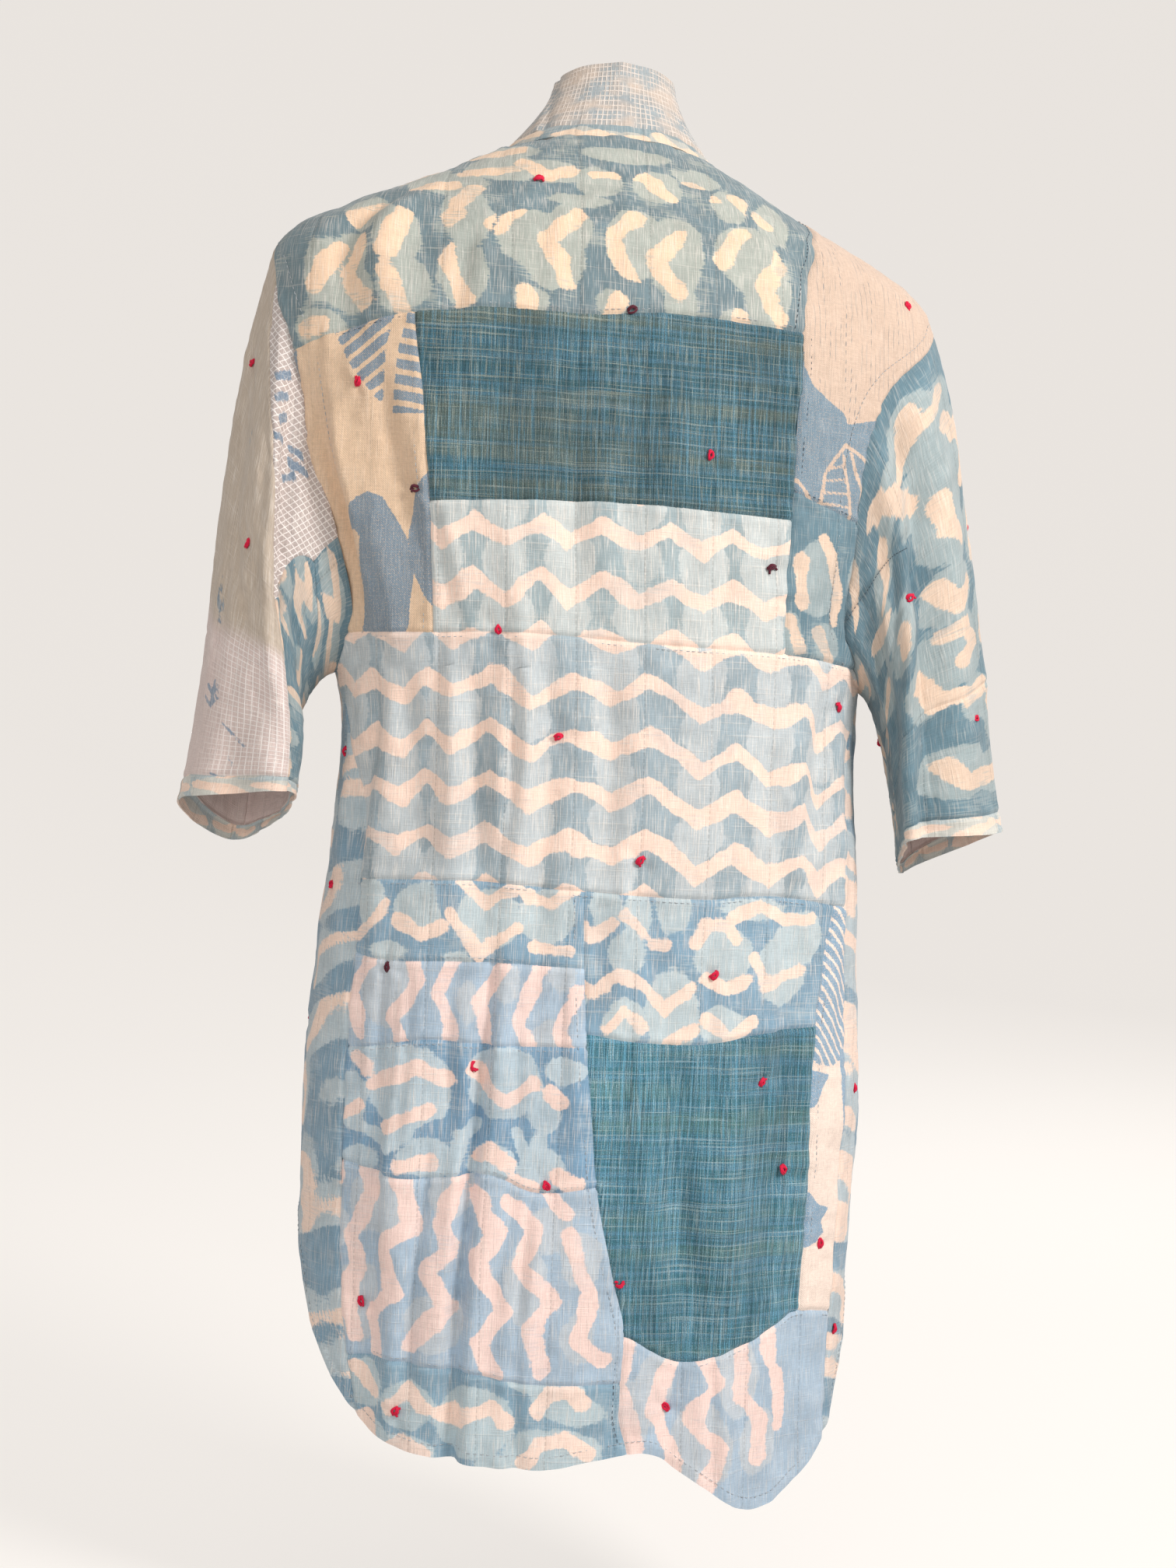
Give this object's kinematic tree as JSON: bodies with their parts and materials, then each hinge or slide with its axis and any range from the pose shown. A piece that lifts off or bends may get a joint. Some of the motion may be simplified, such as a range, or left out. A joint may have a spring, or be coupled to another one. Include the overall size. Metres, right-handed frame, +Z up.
{
  "type": "patchwork tunic coat",
  "caption": "Long patchwork tunic coat, open in front, with stand collar, dropped shoulders, wide three-quarter sleeves and curved hem, hollow as when worn.",
  "frame": {"origin": "middle of the neck opening, at the height of the nape seam, where the wearer's neck and shoulders hold the coat", "axes": "+Z up, +Y out of the back, -Y out of the open front, +X to the wearer's left"},
  "size_m": [0.7396, 0.2684, 1.2573],
  "materials": {
    "print": "matt doubled cotton, resist print",
    "chevron": "matt doubled cotton, chevron print",
    "zigzag": "matt doubled cotton, zigzag print",
    "teal": "matt slub cotton",
    "twill": "soft cotton twill",
    "leaf": "matt doubled cotton, leaf print",
    "slub": "matt slub cotton",
    "grid": "matt cotton, woven grid",
    "collar": "matt cotton, woven check"
  },
  "bodies": {
    "root": {"back_yoke": "print", "back_leaf_right": "leaf", "back_side_right": "print", "back_teal_upper": "teal", "back_chevron_upper": "chevron", "back_leaf_left": "twill", "back_chevron_lower": "chevron", "back_band_left": "print", "back_zigzag_left": "zigzag", "back_print_left": "print", "back_zigzag_low": "zigzag", "back_hem_left": "print", "back_band_right": "print", "back_teal_lower": "teal", "back_strip_right": "leaf", "back_hem_right": "zigzag", "front_left": "print", "front_right": "print", "sleeve_left_upper": "slub", "sleeve_left_lower": "grid", "sleeve_left_back": "grid", "sleeve_left_under": "print", "sleeve_left_low": "print", "sleeve_left_hem": "print", "sleeve_right_upper": "print", "sleeve_right_lower": "print", "sleeve_right_under": "print", "sleeve_right_low": "print", "sleeve_right_hem": "print", "neckband": "print", "collar": "collar"}
  },
  "joints": []
}
